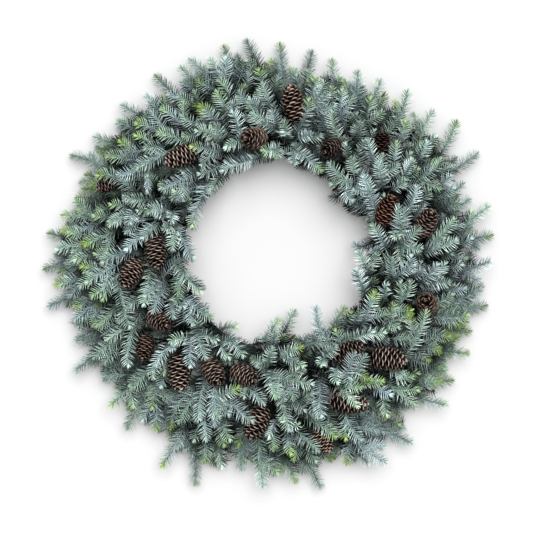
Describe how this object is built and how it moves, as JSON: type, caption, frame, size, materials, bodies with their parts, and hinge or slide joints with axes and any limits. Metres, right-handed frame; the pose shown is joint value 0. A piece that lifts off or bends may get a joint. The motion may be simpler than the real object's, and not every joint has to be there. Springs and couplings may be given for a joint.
{
  "type": "pine and pinecone wreath",
  "caption": "Round wreath of frosted pine twigs in layered sprays on a wire ring, with brown pine cones on wire picks set among them, lying flat on its back with its face up.",
  "frame": {"origin": "on the surface that the wreath lies on, under the middle of its outline", "axes": "+X to the right and +Y up across the wreath's face as it hangs, +Z out of the face, away from the wire ring's back"},
  "size_m": [0.7636, 0.7652, 0.0996],
  "materials": {
    "needles": "moulded needles, matt, blue-green under a pale frosting",
    "cone_scales": "dry woody scales, brown with paler edges",
    "wire": "dark green coating, satin"
  },
  "bodies": {
    "root": {"ring_frame": "wire", "outer_spray_01": "needles", "outer_spray_02": "needles", "outer_spray_03": "needles", "outer_spray_04": "needles", "outer_spray_05": "needles", "outer_spray_06": "needles", "outer_spray_07": "needles", "outer_spray_08": "needles", "outer_spray_09": "needles", "outer_spray_10": "needles", "outer_spray_11": "needles", "outer_spray_12": "needles", "outer_spray_13": "needles", "outer_spray_14": "needles", "middle_spray_01": "needles", "middle_spray_02": "needles", "middle_spray_03": "needles", "middle_spray_04": "needles", "middle_spray_05": "needles", "middle_spray_06": "needles", "middle_spray_07": "needles", "middle_spray_08": "needles", "middle_spray_09": "needles", "middle_spray_10": "needles", "middle_spray_11": "needles", "middle_spray_12": "needles", "middle_spray_13": "needles", "middle_spray_14": "needles", "inner_spray_01": "needles", "inner_spray_02": "needles", "inner_spray_03": "needles", "inner_spray_04": "needles", "inner_spray_05": "needles", "inner_spray_06": "needles", "inner_spray_07": "needles", "inner_spray_08": "needles", "inner_spray_09": "needles", "inner_spray_10": "needles", "pinecone_01": "cone_scales", "pinecone_02": "cone_scales", "pinecone_03": "cone_scales", "pinecone_04": "cone_scales", "pinecone_05": "cone_scales", "pinecone_06": "cone_scales", "pinecone_07": "cone_scales", "pinecone_08": "cone_scales", "pinecone_09": "cone_scales", "pinecone_10": "cone_scales", "pinecone_11": "cone_scales", "pinecone_12": "cone_scales", "pinecone_13": "cone_scales", "pinecone_14": "cone_scales", "pinecone_15": "cone_scales", "pinecone_16": "cone_scales", "pinecone_17": "cone_scales", "pinecone_18": "cone_scales", "pinecone_19": "cone_scales", "pinecone_20": "cone_scales", "pinecone_21": "cone_scales"}
  },
  "joints": []
}
